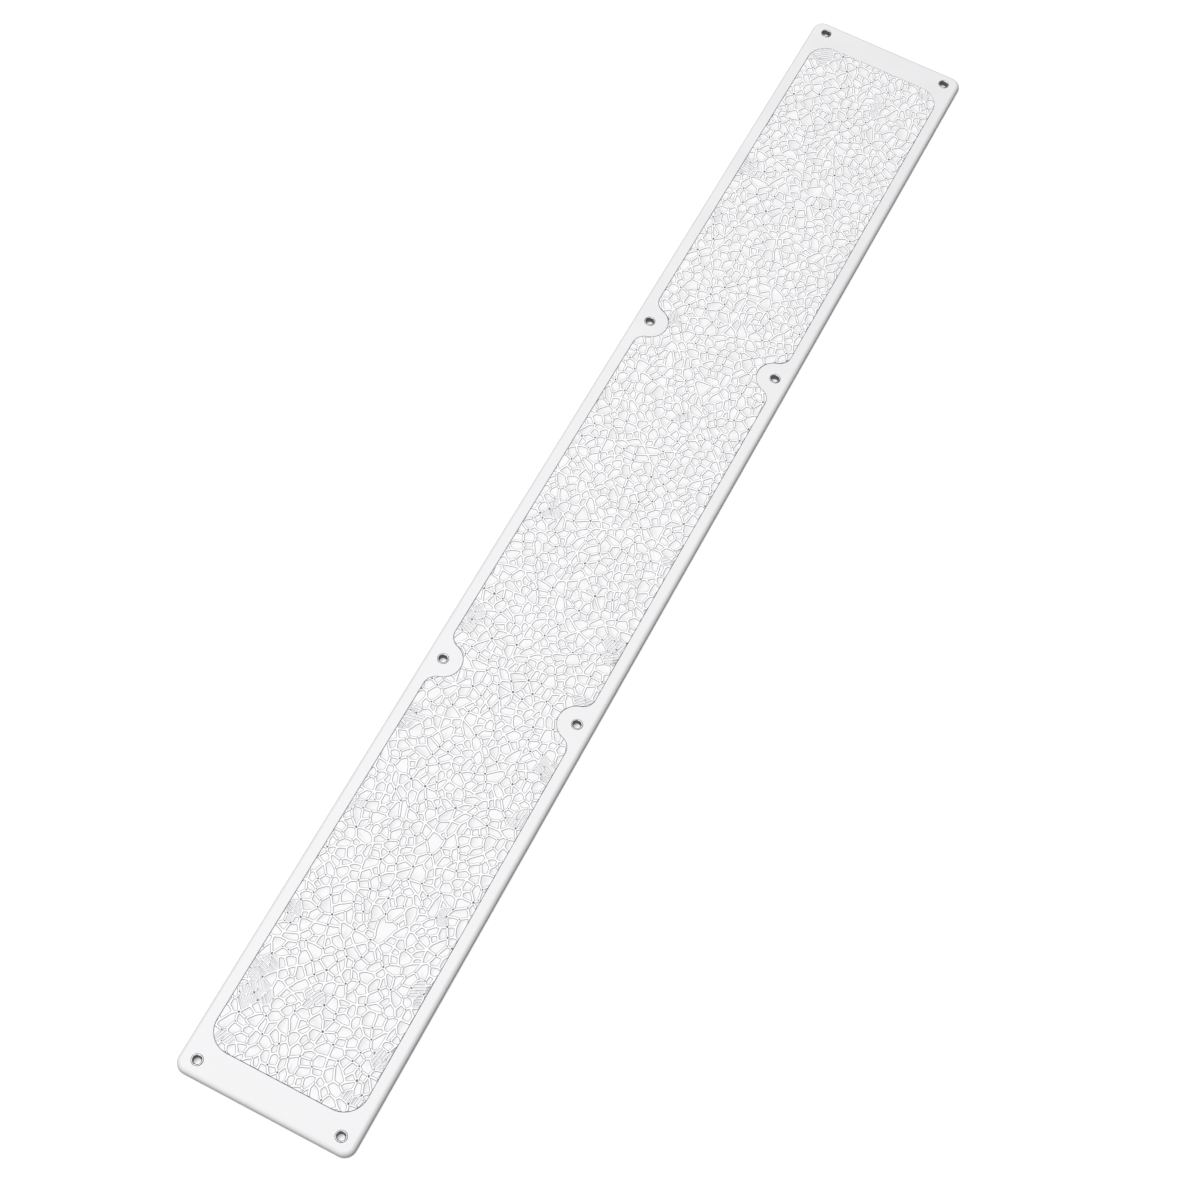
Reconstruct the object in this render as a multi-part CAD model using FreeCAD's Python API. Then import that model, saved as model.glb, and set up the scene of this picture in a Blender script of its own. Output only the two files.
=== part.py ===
import FreeCAD, Part
import math
import os

# Screw-down non-slip board: a moulded carrier board with a recessed grip inlay and one
# flared ferrule in each screw hole. Millimetres, +Z up, +Y along the board. The origin is
# the centre of the footprint, on the surface that the board lies on.

# Carrier board, outside
BOARD_LENGTH = 770.0
BOARD_WIDTH = 100.0
BOARD_HEIGHT = 3.6          # to the flat top of the border
CORNER_RADIUS = 6.5
RIM_ROUND = 2.6             # soft round-over of the top outer edge
FOOT_CHAMFER = 0.3          # on the bottom outer edge

# Recess for the inlay
SIDE_BORDER = 7.3           # board edge to recess wall, along the sides
END_BORDER = 18.0           # the same, at the ends
FIELD_CORNER_RADIUS = 13.0
RECESS_DEPTH = 1.2
RECESS_EDGE_ROUND = 0.4

# Grip inlay
SEAM_GAP = 0.25             # inlay edge to recess wall
INLAY_PROUD = 0.2           # ridge tops above the border
INLAY_EDGE_ROUND = 0.3

# Screw holes: rows evenly spaced along the board, one hole near each side
HOLE_ROWS = 4
HOLE_SIDE_OFFSET = 9.5      # board edge to hole axis, across the board
HOLE_END_OFFSET = 8.5       # board end to the first row
PAD_RADIUS = 10.8           # smooth half-round pad about each middle hole
PAD_FILLET = 7.7            # where the pad's outline runs into the recess side

# Ferrules
FERRULE_BORE = 4.2          # diameter, clears a 4 mm screw
FERRULE_WALL = 0.5
LIP_OVERHANG = 0.6          # lip beyond the barrel, all round
LIP_THICKNESS = 0.7
LIP_PROUD = 0.2             # lip top above the border
LIP_EDGE_ROUND = 0.4        # outer edge of the lip
FERRULE_FIT = 0.05          # radial clearance in its seat
FERRULE_FOOT_GAP = 0.2      # barrel end above the underside
BARREL_END_CHAMFER = 0.15

# Underside, cored out to one wall thickness
WALL = 1.3
SKIRT_WALL = 2.4            # outer skirt, at the foot
RIB_THICKNESS = 1.2
RIBS_PER_HALF_PITCH = 4     # cross ribs in half the distance between two hole rows
LONG_RIBS_PER_SIDE = 1      # long ribs on each side of the one on the centre line

# Worked out from the above
HALF_LENGTH = BOARD_LENGTH / 2
HALF_WIDTH = BOARD_WIDTH / 2
RECESS_HALF_LENGTH = HALF_LENGTH - END_BORDER
RECESS_HALF_WIDTH = HALF_WIDTH - SIDE_BORDER
RECESS_FLOOR = BOARD_HEIGHT - RECESS_DEPTH
HOLE_X = HALF_WIDTH - HOLE_SIDE_OFFSET
ROW_PITCH = (BOARD_LENGTH - 2 * HOLE_END_OFFSET) / (HOLE_ROWS - 1)
ROW_YS = [HALF_LENGTH - HOLE_END_OFFSET - row * ROW_PITCH for row in range(HOLE_ROWS)]
MIDDLE_YS = ROW_YS[1:-1]
BORE_RADIUS = FERRULE_BORE / 2
BARREL_RADIUS = BORE_RADIUS + FERRULE_WALL
LIP_RADIUS = BARREL_RADIUS + LIP_OVERHANG
LIP_TOP = BOARD_HEIGHT + LIP_PROUD
LIP_SEAT = LIP_TOP - LIP_THICKNESS
BOSS_RADIUS = BARREL_RADIUS + FERRULE_FIT + WALL
RIB_PITCH = ROW_PITCH / (2 * RIBS_PER_HALF_PITCH)
LONG_RIB_PITCH = RECESS_HALF_WIDTH / (LONG_RIBS_PER_SIDE + 1)
OVERCUT = 1.0               # how far a cutting solid runs past what it cuts
TOUCH = 1e-6

ROW_NAMES = ["far", "far_middle", "near_middle", "near"]
SIDE_NAMES = {-1: "left", 1: "right"}


def point(x, y, z=0.0):
    return FreeCAD.Vector(x, y, z)


def line(start, end):
    return Part.LineSegment(start, end).toShape()


def arc(start, through, end):
    return Part.Arc(start, through, end).toShape()


def face_from(edges):
    return Part.Face(Part.Wire(Part.__sortEdges__(edges)))


def raised(face, low, high):
    """A flat face drawn at z = 0, pulled up into a solid from low to high."""
    solid = face.extrude(point(0, 0, high - low))
    solid.translate(point(0, 0, low))
    return solid


def corner_arc(side, end, half_width, half_length, radius):
    """The quarter circle of one corner of a rounded rectangle."""
    centre = point(side * (half_width - radius), end * (half_length - radius))
    short = radius * math.sqrt(0.5)
    return arc(centre + point(side * radius, 0),
               centre + point(side * short, end * short),
               centre + point(0, end * radius))


def rounded_rectangle(half_width, half_length, radius):
    edges = []
    for side in (-1, 1):
        edges.append(line(point(side * half_width, -half_length + radius),
                          point(side * half_width, half_length - radius)))
        edges.append(line(point(-half_width + radius, side * half_length),
                          point(half_width - radius, side * half_length)))
        for end in (-1, 1):
            edges.append(corner_arc(side, end, half_width, half_length, radius))
    return face_from(edges)


def pad_edges(side, y, grow):
    """The field's outline round one middle hole, and how far it reaches along the side."""
    edge_x = RECESS_HALF_WIDTH + grow
    pad_radius = PAD_RADIUS - grow
    fillet = PAD_FILLET + grow
    across = HOLE_X - (edge_x - fillet)
    along = math.sqrt((pad_radius + fillet) ** 2 - across ** 2)
    turn = math.atan2(along, across)
    edges = []
    joins = []
    for way in (-1, 1):
        centre = point(side * (edge_x - fillet), y + way * along)
        start = point(side * edge_x, y + way * along)
        through = centre + point(side * fillet * math.cos(turn / 2), -way * fillet * math.sin(turn / 2))
        end = centre + point(side * fillet * math.cos(turn), -way * fillet * math.sin(turn))
        edges.append(arc(start, through, end))
        joins.append(end)
    edges.append(arc(joins[0], point(side * (HOLE_X - pad_radius), y), joins[1]))
    return edges, along


def field_face(grow):
    """The recess outline, moved outwards by grow all the way round."""
    half_width = RECESS_HALF_WIDTH + grow
    half_length = RECESS_HALF_LENGTH + grow
    radius = FIELD_CORNER_RADIUS + grow
    edges = []
    for side in (-1, 1):
        edges.append(line(point(-half_width + radius, side * half_length),
                          point(half_width - radius, side * half_length)))
        for end in (-1, 1):
            edges.append(corner_arc(side, end, half_width, half_length, radius))
        reached = -half_length + radius
        for y in sorted(MIDDLE_YS):
            around, along = pad_edges(side, y, grow)
            edges.append(line(point(side * half_width, reached), point(side * half_width, y - along)))
            edges.extend(around)
            reached = y + along
        edges.append(line(point(side * half_width, reached),
                          point(side * half_width, half_length - radius)))
    return face_from(edges)


def hole_places():
    return [(side, row, point(side * HOLE_X, y)) for row, y in enumerate(ROW_YS) for side in (-1, 1)]


def rib_faces():
    """Cross ribs over the whole board, and long ribs, one of each through the centre."""
    half = RIB_THICKNESS / 2
    cross_count = int(HALF_LENGTH / RIB_PITCH)
    faces = [Part.makePlane(BOARD_WIDTH, RIB_THICKNESS, point(-HALF_WIDTH, count * RIB_PITCH - half))
             for count in range(-cross_count, cross_count + 1)]
    faces += [Part.makePlane(RIB_THICKNESS, BOARD_LENGTH, point(count * LONG_RIB_PITCH - half, -HALF_LENGTH))
              for count in range(-LONG_RIBS_PER_SIDE, LONG_RIBS_PER_SIDE + 1)]
    return faces


def boss_faces():
    return [Part.Face(Part.Wire(Part.makeCircle(BOSS_RADIUS, place))) for _, _, place in hole_places()]


def underside_pockets():
    """What is cored out from below: a deep ring under the border, a shallow one under the field."""
    solid_places = rib_faces() + boss_faces()
    inside_skirt = rounded_rectangle(HALF_WIDTH - SKIRT_WALL, HALF_LENGTH - SKIRT_WALL,
                                     CORNER_RADIUS - SKIRT_WALL)
    under_border = inside_skirt.cut(field_face(WALL)).cut(solid_places)
    under_field = field_face(0).cut(solid_places)
    return [raised(under_border, -OVERCUT, BOARD_HEIGHT - WALL),
            raised(under_field, -OVERCUT, RECESS_FLOOR - WALL)]


def flat_face_at(solid, height):
    """The largest face of the solid that lies flat at this height."""
    flat = [face for face in solid.Faces
            if abs(face.BoundBox.ZMin - height) < TOUCH and abs(face.BoundBox.ZMax - height) < TOUCH]
    return max(flat, key=lambda face: face.Area)


def ferrule_seat(place):
    barrel = Part.makeCylinder(BARREL_RADIUS + FERRULE_FIT, BOARD_HEIGHT + 2 * OVERCUT,
                               place - point(0, 0, OVERCUT))
    lip = Part.makeCylinder(LIP_RADIUS + FERRULE_FIT, BOARD_HEIGHT + OVERCUT - LIP_SEAT,
                            place + point(0, 0, LIP_SEAT))
    return barrel.fuse(lip)


def carrier_board():
    outline = rounded_rectangle(HALF_WIDTH, HALF_LENGTH, CORNER_RADIUS)
    board = raised(outline, 0, BOARD_HEIGHT)
    board = board.makeFillet(RIM_ROUND, flat_face_at(board, BOARD_HEIGHT).Edges)
    board = board.makeChamfer(FOOT_CHAMFER, flat_face_at(board, 0).Edges)
    board = board.cut(raised(field_face(0), RECESS_FLOOR, BOARD_HEIGHT + OVERCUT))
    border = flat_face_at(board, BOARD_HEIGHT)
    recess_edge = [edge for wire in border.Wires if not wire.isSame(border.OuterWire) for edge in wire.Edges]
    board = board.makeFillet(RECESS_EDGE_ROUND, recess_edge)
    board = board.cut(underside_pockets())
    return board.cut([ferrule_seat(place) for _, _, place in hole_places()])


def grip_inlay():
    """The inlay as a plate of its true outline, up to the ridge tops."""
    top = BOARD_HEIGHT + INLAY_PROUD
    plate = raised(field_face(-SEAM_GAP), RECESS_FLOOR, top)
    return plate.makeFillet(INLAY_EDGE_ROUND, flat_face_at(plate, top).Edges)


def ferrule(place):
    """A tube with a rolled lip: its mouth is rounded inwards as far as the lip is wide."""
    mouth_round = LIP_RADIUS - BORE_RADIUS - LIP_EDGE_ROUND
    crown = BORE_RADIUS + mouth_round
    diagonal = math.sqrt(0.5)
    corners = [point(BORE_RADIUS, 0, LIP_TOP - mouth_round),
               point(crown, 0, LIP_TOP),
               point(LIP_RADIUS, 0, LIP_TOP - LIP_EDGE_ROUND),
               point(LIP_RADIUS, 0, LIP_SEAT),
               point(BARREL_RADIUS, 0, LIP_SEAT),
               point(BARREL_RADIUS, 0, FERRULE_FOOT_GAP + BARREL_END_CHAMFER),
               point(BARREL_RADIUS - BARREL_END_CHAMFER, 0, FERRULE_FOOT_GAP),
               point(BORE_RADIUS, 0, FERRULE_FOOT_GAP)]
    mouth = arc(corners[0],
                point(crown - mouth_round * diagonal, 0, LIP_TOP - mouth_round * (1 - diagonal)),
                corners[1])
    edge = arc(corners[1],
               point(crown + LIP_EDGE_ROUND * diagonal, 0, LIP_TOP - LIP_EDGE_ROUND * (1 - diagonal)),
               corners[2])
    straight = [line(start, end) for start, end in zip(corners[2:], corners[3:] + corners[:1])]
    section = face_from([mouth, edge] + straight)
    solid = section.revolve(point(0, 0), point(0, 0, 1), 360)
    solid.translate(place)
    return solid


def save(name, shape):
    solids = shape.Solids
    if len(solids) != 1 or not solids[0].isValid():
        raise RuntimeError(f"{name} should be one sound solid, and is {len(solids)}")
    solids[0].exportStep(os.path.join("parts", name + ".step"))
    box = solids[0].BoundBox
    print(f"{name}: {box.XLength:.2f} x {box.YLength:.2f} x {box.ZLength:.2f} mm, "
          f"{solids[0].Volume / 1000:.2f} cm3")


def main():
    os.makedirs("parts", exist_ok=True)
    save("carrier_board", carrier_board())
    save("grip_inlay", grip_inlay())
    for side, row, place in hole_places():
        save(f"screw_ferrule_{ROW_NAMES[row]}_{SIDE_NAMES[side]}", ferrule(place))


main()
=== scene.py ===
# %% [markdown]
# # A screw-down grip board
# The real object is a long, thin moulded board. Its flat border carries eight screw holes, each
# lined with a small rolled metal ferrule, and a grip inlay with a raised, vein-like relief is let
# into its middle. This lesson builds the looks of the board round its CAD model.
#
# First the CAD model is loaded as a fixed frame. It could be modelled again by hand, but the CAD
# holds the true sizes, so every place below is read from it.

# %% Load the frame
import bmesh
import bpy
import math
import random
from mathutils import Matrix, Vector


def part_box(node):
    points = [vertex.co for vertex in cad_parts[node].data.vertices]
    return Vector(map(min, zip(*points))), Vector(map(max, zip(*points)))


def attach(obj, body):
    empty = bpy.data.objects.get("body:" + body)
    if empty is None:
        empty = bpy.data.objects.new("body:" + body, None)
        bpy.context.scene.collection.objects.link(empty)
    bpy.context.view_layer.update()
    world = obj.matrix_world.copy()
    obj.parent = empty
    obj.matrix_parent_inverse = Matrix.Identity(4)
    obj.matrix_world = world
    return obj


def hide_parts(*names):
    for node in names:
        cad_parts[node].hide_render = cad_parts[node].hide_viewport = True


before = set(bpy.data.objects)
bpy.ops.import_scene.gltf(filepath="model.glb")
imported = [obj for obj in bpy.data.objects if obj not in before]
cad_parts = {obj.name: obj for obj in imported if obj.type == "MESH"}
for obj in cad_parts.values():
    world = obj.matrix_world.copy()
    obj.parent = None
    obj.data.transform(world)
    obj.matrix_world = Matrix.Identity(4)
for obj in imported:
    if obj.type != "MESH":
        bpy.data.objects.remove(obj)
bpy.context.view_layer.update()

MM = 0.001
BODY = "root"
_, board_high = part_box("carrier_board")
inlay_low, inlay_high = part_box("grip_inlay")
BORDER_TOP = board_high.z

# %% [markdown]
# ## Camera
# The board is seen from above its near end, a little to the right, with the camera rolled so that
# the board runs corner to corner. A camera could be tracked to an empty, but an aim point with two
# angles, a distance and a roll says the same thing and leaves nothing to follow.

# %% Place the camera
AIM = Vector((0.0173, -0.0528, BORDER_TOP))
VIEW_AZIMUTH = 19.53
VIEW_ELEVATION = 61.84
VIEW_DISTANCE = 1.3156
VIEW_ROLL = 8.37
LENS_MM = 72.2
SENSOR_MM = 36.0
VIEW_END = 20.0


def direction(azimuth, elevation):
    """Unit vector from the board towards a place at these angles; azimuth 0 is the near end."""
    turn, rise = math.radians(azimuth), math.radians(elevation)
    return Vector((math.sin(turn) * math.cos(rise), -math.cos(turn) * math.cos(rise), math.sin(rise)))


def add_camera():
    back = direction(VIEW_AZIMUTH, VIEW_ELEVATION)
    bpy.ops.object.camera_add(location=AIM + back * VIEW_DISTANCE)
    camera = bpy.context.object
    camera.name = "camera"
    camera.rotation_euler = (-back).to_track_quat("-Z", "Y").to_euler()
    camera.rotation_euler.rotate_axis("Z", math.radians(VIEW_ROLL))
    camera.data.lens = LENS_MM
    camera.data.sensor_width = SENSOR_MM
    camera.data.clip_end = VIEW_END
    bpy.context.scene.camera = camera
    return camera


camera = add_camera()
print("camera", tuple(round(c, 3) for c in camera.location))

# %% [markdown]
# ## Selecting by place
# Operators act on whatever is selected, and a new primitive is selected all over. These helpers
# start from nothing selected, so that each step picks only the faces or edges that it means.

# %% Helpers for edit mode


def only(piece):
    """Leaves this object selected and active, and nothing else."""
    if bpy.context.object and bpy.context.object.mode != "OBJECT":
        bpy.ops.object.mode_set(mode="OBJECT")
    bpy.ops.object.select_all(action="DESELECT")
    piece.select_set(True)
    bpy.context.view_layer.objects.active = piece


def edit(piece, mode="FACE"):
    """Opens a piece in edit mode with nothing selected and returns its edit mesh."""
    only(piece)
    bpy.ops.object.mode_set(mode="EDIT")
    bpy.ops.mesh.select_mode(type=mode)
    bpy.ops.mesh.select_all(action="DESELECT")
    return bmesh.from_edit_mesh(piece.data)


def done():
    bpy.ops.object.mode_set(mode="OBJECT")


def pick_faces(piece, chosen):
    """Selects exactly these faces of the open edit mesh."""
    mesh = bmesh.from_edit_mesh(piece.data)
    for vert in mesh.verts:
        vert.select = False
    for edge in mesh.edges:
        edge.select = False
    for face in mesh.faces:
        face.select = False
    for face in chosen:
        face.select_set(True)
    bmesh.update_edit_mesh(piece.data, loop_triangles=False, destructive=False)


def count_triangles(piece):
    piece.data.calc_loop_triangles()
    return len(piece.data.loop_triangles)


# %% [markdown]
# ## The vein network
# The relief on the real inlay looks like cracked glaze: long veins cross the board, and shorter
# ones close them into cells a little longer than they are wide. A Voronoi texture with a Displace
# modifier would need millions of faces to keep such narrow ridges crisp. Here one flat sheet is cut
# instead, cell by cell, always across the longest way of the largest cell. That is how mud and
# glaze crack, so it gives the same long veins and T-shaped meetings.

# %% Cut a sheet into cells
SHEET_MARGIN = 6.0 * MM      # how far the sheet runs past the inlay before it is trimmed
RIDGE_DROP = 0.03 * MM       # ridge crests below the CAD plate's top
CELL_AREA = 45.0 * MM * MM   # the largest cell left uncut
CELL_STRETCH = 1.25          # how much longer than wide a cell is, along the board
LARGE_AREA = 30 * CELL_AREA   # above this a cut may slant more
SLANT_LARGE, SLANT = 0.5, 0.28  # spread of a cut's angle in radians, in large cells and in others
OFF_CENTRE = 0.11            # how far a cut may miss the middle, as a share of the cell's size
RELIEF_SEED = 41
CREST_Z = inlay_high.z - RIDGE_DROP
draw = random.Random(RELIEF_SEED)


def add_sheet():
    size = inlay_high - inlay_low
    bpy.ops.mesh.primitive_plane_add(size=1, location=(0, 0, CREST_Z))
    sheet = bpy.context.object
    sheet.name = "grip_inlay_relief"
    sheet.scale = (size.x + 2 * SHEET_MARGIN, size.y + 2 * SHEET_MARGIN, 1)
    bpy.ops.object.transform_apply(location=True, rotation=True, scale=True)
    return sheet


def long_way(face, stretch):
    """The direction in which a face is longest, once the board's length is shortened by stretch."""
    centre = face.calc_center_median()
    xx = yy = xy = 0.0
    for vert in face.verts:
        x, y = vert.co.x - centre.x, (vert.co.y - centre.y) / stretch
        xx, yy, xy = xx + x * x, yy + y * y, xy + x * y
    angle = 0.5 * math.atan2(2 * xy, xx - yy)
    return math.atan2(math.sin(angle) * stretch, math.cos(angle))


def cut_face(piece, face, centre, angle):
    """One straight cut through a face, across the direction of angle."""
    pick_faces(piece, [face])
    bpy.ops.mesh.bisect(plane_co=centre, plane_no=(math.cos(angle), math.sin(angle), 0))


def crack(piece):
    """Cuts the largest cell again and again until none is too large. Returns how many cuts."""
    cuts = 0
    while True:
        mesh = bmesh.from_edit_mesh(piece.data)
        face = max(mesh.faces, key=lambda f: f.calc_area())
        area = face.calc_area()
        if area < CELL_AREA:
            return cuts
        slant = SLANT_LARGE if area > LARGE_AREA else SLANT
        centre = face.calc_center_median()
        miss = Vector((draw.uniform(-1, 1), draw.uniform(-1, 1), 0)) * math.sqrt(area) * OFF_CENTRE
        centre += miss
        cut_face(piece, face, centre, long_way(face, CELL_STRETCH) + draw.gauss(0, slant))
        cuts += 1


relief = add_sheet()
edit(relief)
bpy.ops.mesh.select_all(action="SELECT")
cuts = crack(relief)
done()
print("relief:", cuts, "cuts,", len(relief.data.polygons), "cells")

# %% [markdown]
# Some cells are now slivers, too narrow to hold a floor. On the real mould the veins would have
# run together there, so short edges are merged and each sliver gives up its longest edge. One light
# smoothing eases the corners; more of it would turn the cells into a honeycomb.

# %% Tidy the slivers
SHORT_EDGE = 1.1 * MM
NARROW_CELL = 1.15 * MM      # the least reach of a cell
MERGE_ROUNDS = 2
SMOOTHING = 0.4


def reach(face):
    """How far it is from the middle of a face to its nearest edge."""
    middle = face.calc_center_median_weighted()
    nearest = math.inf
    for edge in face.edges:
        start, end = (vert.co for vert in edge.verts)
        along = min(max((middle - start).dot(end - start) / (end - start).length_squared, 0), 1)
        nearest = min(nearest, (middle - start.lerp(end, along)).length)
    return nearest


def drop_slivers(piece):
    """Dissolves the longest edge of each narrow cell until none is left. Returns how many went."""
    dropped = 0
    while True:
        mesh = bmesh.from_edit_mesh(piece.data)
        narrow = sorted((face for face in mesh.faces if reach(face) < NARROW_CELL), key=reach)
        taken, doomed = set(), []
        for face in narrow:
            shared = [edge for edge in face.edges if len(edge.link_faces) == 2]
            edge = max(shared, key=lambda e: e.calc_length(), default=None)
            if edge and not taken.intersection(edge.link_faces):
                taken.update(edge.link_faces)
                doomed.append(edge)
        if not doomed:
            return dropped
        bpy.ops.mesh.select_all(action="DESELECT")
        bpy.ops.mesh.select_mode(type="EDGE")
        for edge in doomed:
            edge.select_set(True)
        bpy.ops.mesh.dissolve_edges(use_verts=False, use_face_split=False)
        bpy.ops.mesh.select_mode(type="FACE")
        dropped += len(doomed)


def flatten():
    bpy.ops.transform.resize(value=(1, 1, 0), center_override=(0, 0, CREST_Z))


edit(relief)
dropped = 0
for _ in range(MERGE_ROUNDS):
    bpy.ops.mesh.select_all(action="SELECT")
    bpy.ops.mesh.remove_doubles(threshold=SHORT_EDGE)
    dropped += drop_slivers(relief)
bpy.ops.mesh.select_all(action="SELECT")
bpy.ops.mesh.vertices_smooth(factor=SMOOTHING, repeat=1, zaxis=False)
flatten()
done()
print("relief:", dropped, "slivers dropped,", len(relief.data.polygons), "cells left")

# %% [markdown]
# ## Rounded cells
# A vertex bevel cuts each meeting back along its veins: every cell gets blunt corners, and a small
# knot is left where the veins meet. Rounding each cell by itself after the inset would give the
# corners too, but nothing at the meetings, and there the real relief has its small round pits.

# %% Blunt the corners
CORNER_CUT = 0.8 * MM
KNOT_AREA = 2.2 * MM * MM    # a face smaller than this is a knot between cells

edit(relief, "VERT")
mesh = bmesh.from_edit_mesh(relief.data)
for vert in mesh.verts:
    vert.select_set(len(vert.link_edges) > 2)
bmesh.update_edit_mesh(relief.data)
bpy.ops.mesh.bevel(offset_type="OFFSET", offset=CORNER_CUT, segments=1, affect="VERTICES",
                   clamp_overlap=True)
mesh = bmesh.from_edit_mesh(relief.data)
is_knot = mesh.faces.layers.int.new("knot")
for face in mesh.faces:
    face[is_knot] = face.calc_area() < KNOT_AREA
knots = sum(face[is_knot] for face in mesh.faces)
done()
print("relief:", knots, "knots and", len(relief.data.polygons) - knots, "cells")

# %% [markdown]
# Straight cuts look like a broken tile. The veins of the real relief wander, so each long edge gets
# extra points, every point is nudged, and a little smoothing turns the nudges into gentle bends.
# The nudge is drawn with a fixed seed, so that the relief is the same on every run, and a resize to
# nothing in Z keeps the sheet flat.

# %% Let the veins wander
SPLIT_LENGTH = 2.4 * MM
MOST_SPLITS = 4              # most extra points on an edge; one too long for that gets none
WANDER = 0.36 * MM
WANDER_SEED = 5


def split_long_edges(piece):
    mesh = bmesh.from_edit_mesh(piece.data)
    for cuts in range(1, MOST_SPLITS + 1):
        edges = [edge for edge in mesh.edges
                 if cuts <= edge.calc_length() / SPLIT_LENGTH < cuts + 1]
        bmesh.ops.bisect_edges(mesh, edges=edges, cuts=cuts)
    bmesh.update_edit_mesh(piece.data)


edit(relief)
split_long_edges(relief)
bpy.ops.mesh.select_all(action="SELECT")
bpy.ops.transform.vertex_random(offset=WANDER, uniform=0.0, normal=0.0, seed=WANDER_SEED)
flatten()
bpy.ops.mesh.vertices_smooth(factor=SMOOTHING, repeat=1, zaxis=False)
done()
print("relief:", len(relief.data.vertices), "points on the veins")

# %% [markdown]
# Here and there, mostly along the edges, the cells of the real relief hold no floor but fine
# parallel lines. Every cell near the middle of such a patch is cut again by planes about a
# millimetre and a half apart. Drawing the lines as separate ridges would be an alternative, but
# cuts keep the surface in one piece. All the cells of one patch share one direction, so the lines
# run on from cell to cell.

# %% Hatch some of the cells
HATCH_PITCH = 1.6 * MM
HATCH_PATCHES = 18           # along the sides of the field, and half as many inside it
HATCH_RADIUS = (3.5 * MM, 8.0 * MM)
LEAST_HATCHED = 4 * KNOT_AREA   # smaller cells stay whole
SAME_PLACE = 0.1 * MM        # a cut this near a corner goes through it
SIDE_INSET = 3 * MM          # from the field's edge to the middles of the patches beside it
CORNER_INSET = 4 * MM        # further in from there, for one patch near each corner


def hatch(mesh, face, across):
    """Cuts one face into parallel strips and returns how many there are."""
    places = [vert.co.dot(across) for vert in face.verts]
    strips = [face]
    place = math.ceil(min(places) / HATCH_PITCH) * HATCH_PITCH
    while place < max(places):
        edges = {edge for strip in strips for edge in strip.edges}
        verts = {vert for strip in strips for vert in strip.verts}
        cut = bmesh.ops.bisect_plane(mesh, geom=[*strips, *edges, *verts], dist=SAME_PLACE,
                                     plane_co=across * place, plane_no=across)
        strips = [made for made in cut["geom"] if isinstance(made, bmesh.types.BMFace)]
        place += HATCH_PITCH
    return len(strips)


def patch_middles():
    """Random places along the two sides, one place near each corner, then random ones inside."""
    x, y = inlay_high.x - SIDE_INSET, inlay_high.y - SIDE_INSET
    for _ in range(HATCH_PATCHES):
        along = draw.uniform(-y, y)
        yield Vector((math.copysign(x, draw.uniform(-1, 1)), along, CREST_Z))
    for side in (-1, 1):
        for end in (-1, 1):
            yield Vector((side * (x - CORNER_INSET), end * (y - CORNER_INSET), CREST_Z))
    for _ in range(HATCH_PATCHES // 2):
        yield Vector((draw.uniform(-x, x), draw.uniform(-y, y), CREST_Z))


mesh = edit(relief)
strips = 0
for middle in patch_middles():
    size = draw.uniform(*HATCH_RADIUS)
    angle = draw.uniform(0, math.pi)
    across = Vector((math.cos(angle), math.sin(angle), 0))
    patch = [face for face in mesh.faces if face.calc_area() > LEAST_HATCHED
             and (face.calc_center_median() - middle).length < size]
    strips += sum(hatch(mesh, face, across) for face in patch)
bmesh.update_edit_mesh(relief.data)
done()
print("relief:", strips, "hatched strips")

# %% [markdown]
# ## Ridges, flanks and floors
# Each cell is now a many-sided face. Inset with individual faces shrinks every cell by the same
# width and can lower it in the same step, so two insets give half the ridge's crest and its flank.
# A bevel on the network's edges would also raise ridges, but it can't give them a flank of their
# own. Where a corner is tight, an inset turns its shortest edges back to front, so those are
# collapsed after every step. Most knots become small pits, deeper than the floors.

# %% Lower the cell floors
CREST = (0.42 * MM, 0.04 * MM)     # width and drop of half the ridge's crest
FLANK = (0.34 * MM, 0.28 * MM)
FLOOR_DEPTH = CREST[1] + FLANK[1]
FULL_REACH = 1.2 * MM              # a cell that reaches this far takes the full steps
NARROW_SHARE = 0.5                 # cells with this share of the full reach or less are narrow
STRIP_DEPTH = 0.96                 # share of the drop that narrow cells and strips take
PIT = (0.06 * MM, 0.46 * MM)       # width and drop, from the level of the crests
TURNED_SHARE = 0.02                # an inset edge with less of its outer edge left has turned
LEAST_REACH = 0.2 * MM             # anything smaller stays level with the crests
PIT_CHANCE = 0.65


def turned_edges(faces):
    """The edges of freshly inset faces that now run the other way from where they came."""
    turned = []
    for face in faces:
        for loop in face.loops:
            outer = loop.link_loop_radial_next.link_loop_next.link_loop_next
            inside = loop.link_loop_next.vert.co - loop.vert.co
            outside = outer.link_loop_next.vert.co - outer.vert.co
            inside.z = outside.z = 0
            least = TURNED_SHARE * outside.length_squared
            if len(outer.face.verts) == 4 and inside.dot(outside) <= least:
                turned.append(loop.edge)
    return turned


def sink(piece, group, steps):
    """Insets the faces of one group once for each step, a width and a drop."""
    mesh = bmesh.from_edit_mesh(piece.data)
    layer = mesh.faces.layers.int["group"]
    pick_faces(piece, [face for face in mesh.faces if face[layer] == group])
    collapsed = 0
    for width, drop in steps:
        bpy.ops.mesh.inset(thickness=width, depth=-drop, use_individual=True,
                           use_even_offset=True)
        mesh = bmesh.from_edit_mesh(piece.data)
        faces = [face for face in mesh.faces if face.select]
        turned = turned_edges(faces)
        bmesh.ops.collapse(mesh, edges=turned)
        pick_faces(piece, [face for face in faces if face.is_valid])
        collapsed += len(turned)
    return collapsed


def cell_steps(share):
    """The crest and flank for cells with this share of the full reach."""
    depth = 1.0 if share > NARROW_SHARE else STRIP_DEPTH
    return [(width * share, drop * depth) for width, drop in (CREST, FLANK)]


SHARES = (1.0, 0.75, 0.5, 0.3, 0.15)
PIT_GROUP, FLAT_GROUP = len(SHARES), len(SHARES) + 1


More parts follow.
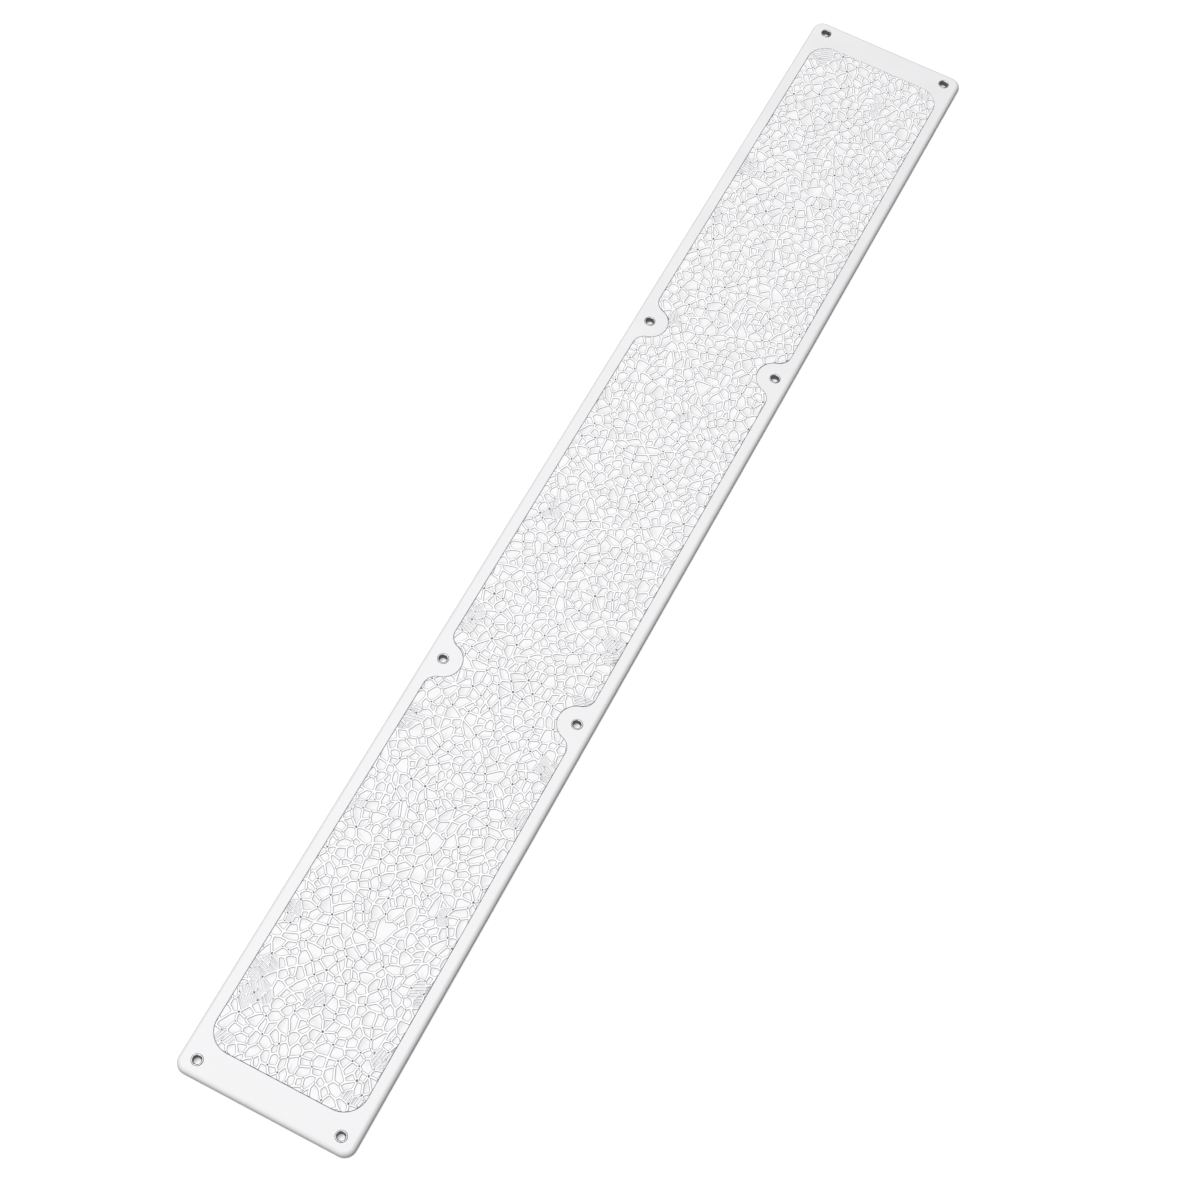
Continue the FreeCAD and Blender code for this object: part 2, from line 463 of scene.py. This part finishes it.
def group_of(face, knot):
    """The number of the share that suits a cell, or the group of pits or of flat knots."""
    room = reach(face)
    if room < LEAST_REACH or knot and draw.random() > PIT_CHANCE:
        return FLAT_GROUP
    if knot:
        return PIT_GROUP
    share = max((share for share in SHARES if room / FULL_REACH >= share), default=min(SHARES))
    return SHARES.index(share)


mesh = edit(relief)
layer = mesh.faces.layers.int.new("group")
is_knot = mesh.faces.layers.int["knot"]
counts = [0] * (FLAT_GROUP + 1)
for face in mesh.faces:
    face[layer] = group_of(face, face[is_knot])
    counts[face[layer]] += 1
collapsed = sum(sink(relief, number, cell_steps(share)) for number, share in enumerate(SHARES))
collapsed += sink(relief, PIT_GROUP, [PIT])
done()
for name in ("group", "knot"):
    relief.data.attributes.remove(relief.data.attributes[name])
print("relief:", dict(zip(SHARES, counts)), "cells,", counts[PIT_GROUP], "pits,", collapsed,
      "turned edges collapsed,", count_triangles(relief), "triangles")

# %% [markdown]
# ## From sheet to inlay
# The sheet becomes a plate: its outer edges are pulled down past the bottom of the recess and the
# loop that they end in is filled. Then a Boolean keeps only what lies inside a copy of the CAD
# inlay, so the outline, the pads' round bays and the seam come out exactly as designed, and cells
# at the edge are cut through as they are on the real inlay.

# %% Close the plate and trim it
PLATE_OVERRUN = 1.0 * MM
SAME_CORNER = 0.002 * MM     # corners of the CAD mesh this near each other are one
SMOOTH_ANGLE = math.radians(20)


def close_plate(piece):
    mesh = edit(piece, "EDGE")
    for edge in mesh.edges:
        edge.select_set(edge.is_boundary)
    bmesh.update_edit_mesh(piece.data)
    bottom = inlay_low.z - PLATE_OVERRUN
    bpy.ops.mesh.extrude_edges_move(TRANSFORM_OT_translate={"value": (0, 0, bottom - CREST_Z)})
    bpy.ops.transform.resize(value=(1, 1, 0), center_override=(0, 0, bottom))
    bpy.ops.mesh.edge_face_add()
    bpy.ops.mesh.select_all(action="SELECT")
    bpy.ops.mesh.normals_make_consistent(inside=False)
    done()


def solid_copy(node, name):
    """A copy of a CAD node's mesh, with its loose triangles merged into one closed skin."""
    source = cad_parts[node]
    copy = bpy.data.objects.new(name, source.data.copy())
    bpy.context.collection.objects.link(copy)
    edit(copy, "VERT")
    bpy.ops.mesh.select_all(action="SELECT")
    bpy.ops.mesh.remove_doubles(threshold=SAME_CORNER)
    done()
    return copy


def trim(piece, cutter, operation):
    only(piece)
    boolean = piece.modifiers.new("trim", "BOOLEAN")
    boolean.operation = operation
    boolean.object = cutter
    boolean.solver = "MANIFOLD"
    bpy.ops.object.modifier_apply(modifier=boolean.name)
    bpy.data.objects.remove(cutter)


close_plate(relief)
trim(relief, solid_copy("grip_inlay", "inlay_outline"), "INTERSECT")
only(relief)
bpy.ops.object.shade_smooth_by_angle(angle=SMOOTH_ANGLE)
print("relief:", count_triangles(relief), "triangles after the trim")

# %% [markdown]
# The real inlay is one moulding, so the relief shouldn't lie on top of the CAD plate. It takes the
# plate's place, and belongs to the same body as the board, because nothing here moves.

# %% Put the inlay in the board
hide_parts("grip_inlay")
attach(relief, BODY)
print(relief.name, "takes the place of grip_inlay on body", BODY)

# %% [markdown]
# ## Moulded plastic
# Both mouldings are white plastic with a satin skin. A flat colour would look like paper, so the
# material carries what a mould leaves: a very fine spark-eroded grain in the bump, broad faint
# flow marks in the colour, and a roughness that varies with them. On the relief, light and shade are
# painted into the colour by height: a painted highlight on the ridge tops, and painted shade on the
# flanks and in the pits. All of it is worked out from Object coordinates, so it stays put when the
# camera moves. Separate materials for tops, flanks and floors would also work, but they would have to
# be given face by face.

# %% Node helpers
MIX_FACTOR, MIX_FIRST, MIX_SECOND, MIX_RESULT = 0, 6, 7, 2   # a Mix node's sockets for colours


def new_material(name):
    """A node material. Returns it with its node tree and its shader."""
    material = bpy.data.materials.new(name)
    material.use_nodes = True
    return material, material.node_tree, material.node_tree.nodes["Principled BSDF"]


def node(tree, kind, **values):
    """Adds a node and sets its inputs, or its own settings where no input has that name."""
    made = tree.nodes.new(kind)
    for name, value in values.items():
        if name in made.inputs:
            made.inputs[name].default_value = value
        else:
            setattr(made, name, value)
    return made


def noise(tree, place, scale, detail=3.0):
    made = node(tree, "ShaderNodeTexNoise", Scale=scale, Detail=detail)
    tree.links.new(place, made.inputs["Vector"])
    return made.outputs["Fac"]


def ramp(tree, value, low, high, dark, bright):
    """Maps low to dark and high to bright, and holds those values beyond them."""
    made = node(tree, "ShaderNodeMapRange")
    made.inputs["From Min"].default_value = low
    made.inputs["From Max"].default_value = high
    made.inputs["To Min"].default_value = dark
    made.inputs["To Max"].default_value = bright
    tree.links.new(value, made.inputs["Value"])
    return made.outputs["Result"]


def mix_colours(tree, factor, first, second):
    """Blends two colours. Each is a socket or three numbers."""
    made = node(tree, "ShaderNodeMix", data_type="RGBA")
    for place, colour in ((MIX_FIRST, first), (MIX_SECOND, second)):
        if isinstance(colour, bpy.types.NodeSocket):
            tree.links.new(colour, made.inputs[place])
        else:
            made.inputs[place].default_value = (*colour, 1)
    tree.links.new(factor, made.inputs[MIX_FACTOR])
    return made.outputs[MIX_RESULT]


def add_bump(tree, shader, height, strength, distance):
    bump = node(tree, "ShaderNodeBump", Strength=strength, Distance=distance)
    tree.links.new(height, bump.inputs["Height"])
    tree.links.new(bump.outputs["Normal"], shader.inputs["Normal"])


# %% Plastic material
FLOW_SCALE, SPECK_SCALE = 35.0, 900.0
FLOW_SHARE, SPECK_SHARE = 0.7, 0.3      # how much each does to the colour
FINE_DETAIL = 2.0
NOISE_MIDDLE = (0.35, 0.65)             # where most of a noise texture's values lie
NOISE_WIDE = (0.3, 0.7)
SPECK_RANGE = (0.45, 0.75)
ROUGHNESS_SPREAD = 0.05
GRAIN_STRENGTH = 0.6
PLASTIC_IOR = 1.49
PLASTIC_SPECULAR = 0.4
# Drops below the crests between which the painted shade of the flanks, the painted highlight of the
# crests and the painted shade of the pits set in.
FLANK_RANGE = (FLOOR_DEPTH - 0.01 * MM, FLOOR_DEPTH - 0.04 * MM)
CREST_RANGE = (0.10 * MM, 0.05 * MM)
PIT_RANGE = (FLOOR_DEPTH + 0.03 * MM, FLOOR_DEPTH + 0.08 * MM)
# Painted highlight for the ridge tops, and painted shade for the flanks of the ridges and for the
# pits.
PAINTED_CREST_HIGHLIGHT = (0.963, 0.963, 0.967)
PAINTED_FLANK_SHADE = (0.25, 0.25, 0.275)
PAINTED_PIT_SHADE = (0.16, 0.16, 0.18)


def paint_light_by_height(tree, place, colour, crest, flank, pit):
    """Lays painted shade on the flanks of the ridges, then a painted highlight on their tops and
    painted shade in the pits.
    """
    height = tree.nodes.new("ShaderNodeSeparateXYZ")
    tree.links.new(place, height.inputs["Vector"])
    # Each pass paints shade or a highlight into the colour by height alone.
    for shade, (low, high) in ((flank, FLANK_RANGE), (crest, CREST_RANGE), (pit, PIT_RANGE)):
        share = ramp(tree, height.outputs["Z"], CREST_Z - low, CREST_Z - high, 0.0, 1.0)
        colour = mix_colours(tree, share, colour, shade)
    return colour


def plastic(name, dull, bright, roughness, grain_scale, grain_depth, relief_painted_light=None):
    material, tree, shader = new_material(name)
    place = tree.nodes.new("ShaderNodeTexCoord").outputs["Object"]
    flow = noise(tree, place, FLOW_SCALE)
    speck = noise(tree, place, SPECK_SCALE, FINE_DETAIL)
    grain = noise(tree, place, grain_scale, FINE_DETAIL)
    blend = node(tree, "ShaderNodeMath", operation="ADD")
    tree.links.new(ramp(tree, flow, *NOISE_MIDDLE, 0.0, FLOW_SHARE), blend.inputs[0])
    tree.links.new(ramp(tree, speck, *SPECK_RANGE, 0.0, SPECK_SHARE), blend.inputs[1])
    colour = mix_colours(tree, blend.outputs[0], dull, bright)
    if relief_painted_light:
        colour = paint_light_by_height(tree, place, colour, *relief_painted_light)
    tree.links.new(colour, shader.inputs["Base Color"])
    tree.links.new(ramp(tree, flow, *NOISE_WIDE, roughness - ROUGHNESS_SPREAD,
                        roughness + ROUGHNESS_SPREAD), shader.inputs["Roughness"])
    add_bump(tree, shader, grain, GRAIN_STRENGTH, grain_depth)
    shader.inputs["IOR"].default_value = PLASTIC_IOR
    shader.inputs["Specular IOR Level"].default_value = PLASTIC_SPECULAR
    return material


carrier_plastic = plastic("carrier_plastic", dull=(0.80, 0.80, 0.813), bright=(0.83, 0.83, 0.84),
                          roughness=0.42, grain_scale=2600.0, grain_depth=0.03 * MM)
# The relief's colour carries a painted highlight on the crests and painted shade on the flanks and in
# the pits.
grip_plastic = plastic("grip_plastic", dull=(0.866, 0.866, 0.878), bright=(0.894, 0.894, 0.903),
                       roughness=0.5, grain_scale=2100.0, grain_depth=0.04 * MM,
                       relief_painted_light=(PAINTED_CREST_HIGHLIGHT, PAINTED_FLANK_SHADE, PAINTED_PIT_SHADE))
print("plastics:", carrier_plastic.name, "and", grip_plastic.name)

# %% [markdown]
# ## Plated ferrules
# The ferrules are plated metal. Polished nickel is never a perfect mirror: handling dulls it in
# patches, and turning leaves fine marks. An image of scratches would show them too, but here one
# noise texture drives the colour and the roughness, and a finer one goes into the bump.

# %% Ferrule metal
PATCH_SCALE, MARK_SCALE = 420.0, 5200.0
METAL_DULL, METAL_BRIGHT = (0.36, 0.36, 0.37), (0.46, 0.46, 0.47)
METAL_ROUGHNESS = (0.3, 0.42)
MARK_STRENGTH, MARK_DEPTH = 0.2, 0.005 * MM


def plated_metal(name):
    material, tree, shader = new_material(name)
    place = tree.nodes.new("ShaderNodeTexCoord").outputs["Object"]
    patches = noise(tree, place, PATCH_SCALE)
    marks = noise(tree, place, MARK_SCALE, FINE_DETAIL)
    share = ramp(tree, patches, *NOISE_MIDDLE, 0.0, 1.0)
    tree.links.new(mix_colours(tree, share, METAL_DULL, METAL_BRIGHT), shader.inputs["Base Color"])
    tree.links.new(ramp(tree, patches, *NOISE_WIDE, *METAL_ROUGHNESS), shader.inputs["Roughness"])
    add_bump(tree, shader, marks, MARK_STRENGTH, MARK_DEPTH)
    shader.inputs["Metallic"].default_value = 1.0
    return material


ferrule_metal = plated_metal("ferrule_metal")
print("metal:", ferrule_metal.name)

# %% [markdown]
# The relief was modelled here, so it gets a new slot. The other pieces come from the CAD frame with
# slots of their own, which are filled instead of rebuilt, so that no face loses its slot number.

# %% Dress the pieces


def dress(piece, material):
    """Makes this the only material of a piece."""
    piece.data.materials.clear()
    piece.data.materials.append(material)


def fill_slots(piece, material):
    for slot in piece.material_slots:
        slot.material = material


dress(relief, grip_plastic)
fill_slots(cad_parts["carrier_board"], carrier_plastic)
ferrules = [piece for name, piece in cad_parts.items() if name.startswith("screw_ferrule")]
for ferrule in ferrules:
    fill_slots(ferrule, ferrule_metal)
print("dressed: the board, the relief and", len(ferrules), "ferrules")

# %% [markdown]
# ## Floor and light
# A white board on a white ground shows its shape only through soft shade. A wide lamp stands almost
# overhead, on the left, a weaker fill lights the near rim, and a dim even surround leaves the right
# side dark. A real white floor would throw light back at that side and wash it out, so the floor
# glows a little, to stay pure white, and is hidden from diffuse and glossy rays.

# %% Floor
FLOOR_SIZE = 8.0
FLOOR_GLOW = 0.2
FLOOR_COLOUR = (0.96, 0.96, 0.965, 1)
FLOOR_ROUGHNESS = 0.9
FLOOR_SPECULAR = 0.1
WHITE = (1, 1, 1, 1)


def add_floor():
    bpy.ops.mesh.primitive_plane_add(size=FLOOR_SIZE, location=(0, 0, 0))
    floor = bpy.context.object
    floor.name = "floor"
    material, _, shader = new_material("floor")
    shader.inputs["Base Color"].default_value = FLOOR_COLOUR
    shader.inputs["Roughness"].default_value = FLOOR_ROUGHNESS
    shader.inputs["Specular IOR Level"].default_value = FLOOR_SPECULAR
    shader.inputs["Emission Color"].default_value = WHITE
    shader.inputs["Emission Strength"].default_value = FLOOR_GLOW
    floor.data.materials.append(material)
    floor.visible_diffuse = floor.visible_glossy = False


add_floor()
print("floor:", FLOOR_SIZE, "m wide")

# %% [markdown]
# Small lamps would draw hard shadows on every ridge. Wide round ones give the soft shade of a
# studio, and each is placed by two angles and a distance, like the camera.

# %% Lights
SURROUND = 0.2


def add_lamp(name, azimuth, elevation, distance, size, power):
    """A round lamp that points at the middle of the board. The power is in watts."""
    back = direction(azimuth, elevation)
    bpy.ops.object.light_add(type="AREA", location=back * distance)
    lamp = bpy.context.object
    lamp.name = name
    lamp.rotation_euler = (-back).to_track_quat("-Z", "Y").to_euler()
    lamp.data.shape = "DISK"
    lamp.data.size = size
    lamp.data.energy = power


def add_surround():
    world = bpy.data.worlds.new("surround")
    world.use_nodes = True
    background = world.node_tree.nodes["Background"]
    background.inputs["Color"].default_value = WHITE
    background.inputs["Strength"].default_value = SURROUND
    bpy.context.scene.world = world


add_surround()
add_lamp("key", azimuth=-112, elevation=74, distance=3.4, size=3.2, power=102)
add_lamp("fill", azimuth=-10, elevation=40, distance=4.5, size=1.8, power=46)
bpy.context.scene.view_settings.view_transform = "Standard"
bpy.context.scene.view_settings.look = "None"
print("lights: key, fill and a surround of", SURROUND)
